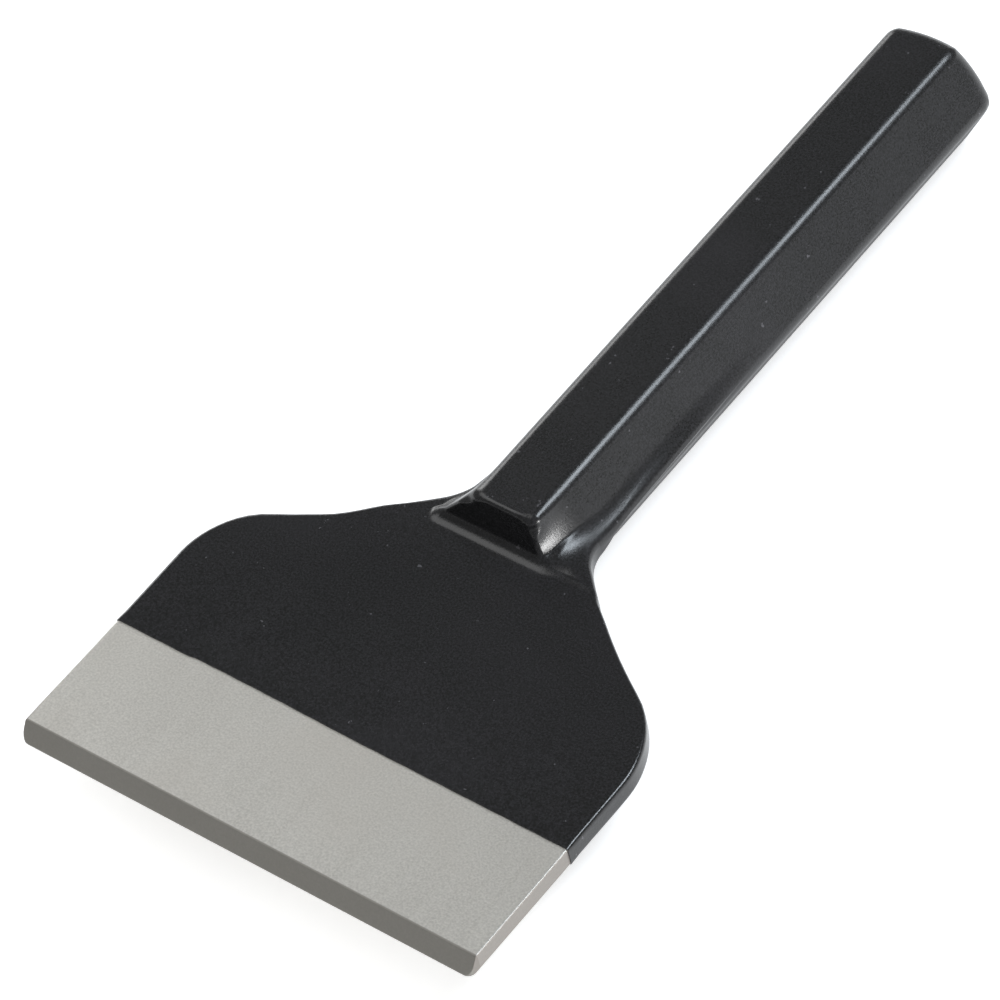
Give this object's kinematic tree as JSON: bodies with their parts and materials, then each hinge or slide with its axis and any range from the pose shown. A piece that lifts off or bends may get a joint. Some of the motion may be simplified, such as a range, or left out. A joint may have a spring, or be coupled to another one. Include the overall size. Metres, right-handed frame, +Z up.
{
  "type": "brick bolster chisel",
  "caption": "Brick bolster chisel with a wide flat blade and a hexagonal shank, black coated with a bare ground steel strip at the cutting edge.",
  "frame": {"origin": "on the surface that the tool lies on, below the middle of its length and width", "axes": "+X across the blade, +Y along the tool from the cutting edge to the struck end, +Z up, out of the bevelled side"},
  "size_m": [0.102, 0.2124, 0.0234],
  "materials": {
    "bare_steel": "ground steel with a fine grain, satin and unpolished",
    "black_enamel": "smooth black baked enamel, between satin and gloss"
  },
  "bodies": {
    "root": {"steel_forging": "bare_steel", "black_coating": "black_enamel"}
  },
  "joints": []
}
